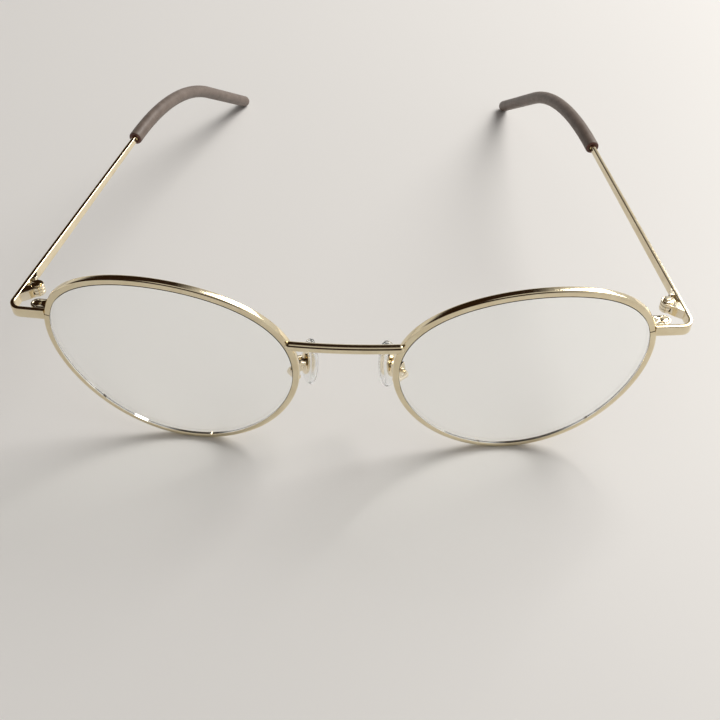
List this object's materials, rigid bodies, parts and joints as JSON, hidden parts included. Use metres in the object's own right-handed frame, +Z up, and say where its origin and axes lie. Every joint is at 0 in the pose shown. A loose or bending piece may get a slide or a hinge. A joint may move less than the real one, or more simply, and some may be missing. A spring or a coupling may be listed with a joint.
{
  "type": "eyeglasses",
  "caption": "Full-rim metal eyeglasses with clear lenses, a straight bridge bar, adjustable nose pads and hinged temples that end in bent round tips.",
  "frame": {"origin": "on the surface that the open glasses stand on, under the middle of their width and length", "axes": "+X towards the wearer's left temple, +Y back along the temples, +Z up; the lenses face -Y"},
  "size_m": [0.1326, 0.1378, 0.0451],
  "materials": {
    "gold_metal": "polished pale gold plating",
    "clear_lens": "clear, coated, glossy",
    "clear_silicone": "clear soft silicone",
    "taupe_tip": "matte taupe acetate"
  },
  "bodies": {
    "front": {"bridge": "gold_metal", "eyewire_left": "gold_metal", "eyewire_right": "gold_metal", "lens_left": "clear_lens", "lens_right": "clear_lens", "endpiece_left": "gold_metal", "endpiece_right": "gold_metal", "closing_block_upper_left": "gold_metal", "closing_block_upper_right": "gold_metal", "closing_block_lower_left": "gold_metal", "closing_block_lower_right": "gold_metal", "closing_screw_left": "gold_metal", "closing_screw_right": "gold_metal", "hinge_front_leaf_left": "gold_metal", "hinge_front_leaf_right": "gold_metal", "hinge_screw_left": "gold_metal", "hinge_screw_right": "gold_metal", "pad_arm_left": "gold_metal", "pad_arm_right": "gold_metal", "pad_box_left": "gold_metal", "pad_box_right": "gold_metal", "pad_screw_left": "gold_metal", "pad_screw_right": "gold_metal"},
    "temple_left": {"hinge_temple_leaf_left": "gold_metal", "temple_left": "gold_metal", "temple_tip_left": "taupe_tip"},
    "temple_right": {"hinge_temple_leaf_right": "gold_metal", "temple_right": "gold_metal", "temple_tip_right": "taupe_tip"},
    "nose_pad_left": {"pad_insert_left": "gold_metal", "nose_pad_left": "clear_silicone"},
    "nose_pad_right": {"pad_insert_right": "gold_metal", "nose_pad_right": "clear_silicone"}
  },
  "joints": [
    {"name": "temple_left_fold", "type": "hinge", "parent": "front", "child": "temple_left", "pos_m": [0.06245, -0.05511, 0.03302], "axis": [0, 0, 1], "range_deg": [0, 78]},
    {"name": "temple_right_fold", "type": "hinge", "parent": "front", "child": "temple_right", "pos_m": [-0.06245, -0.05511, 0.03302], "axis": [0, 0, -1], "range_deg": [0, 74]},
    {"name": "nose_pad_left_rock", "type": "hinge", "parent": "front", "child": "nose_pad_left", "pos_m": [0.01, -0.05914, 0.01777], "axis": [0.5, 0.866, 0], "range_deg": [-8, 8]},
    {"name": "nose_pad_right_rock", "type": "hinge", "parent": "front", "child": "nose_pad_right", "pos_m": [-0.01, -0.05914, 0.01777], "axis": [0.5, -0.866, 0], "range_deg": [-8, 8]}
  ]
}
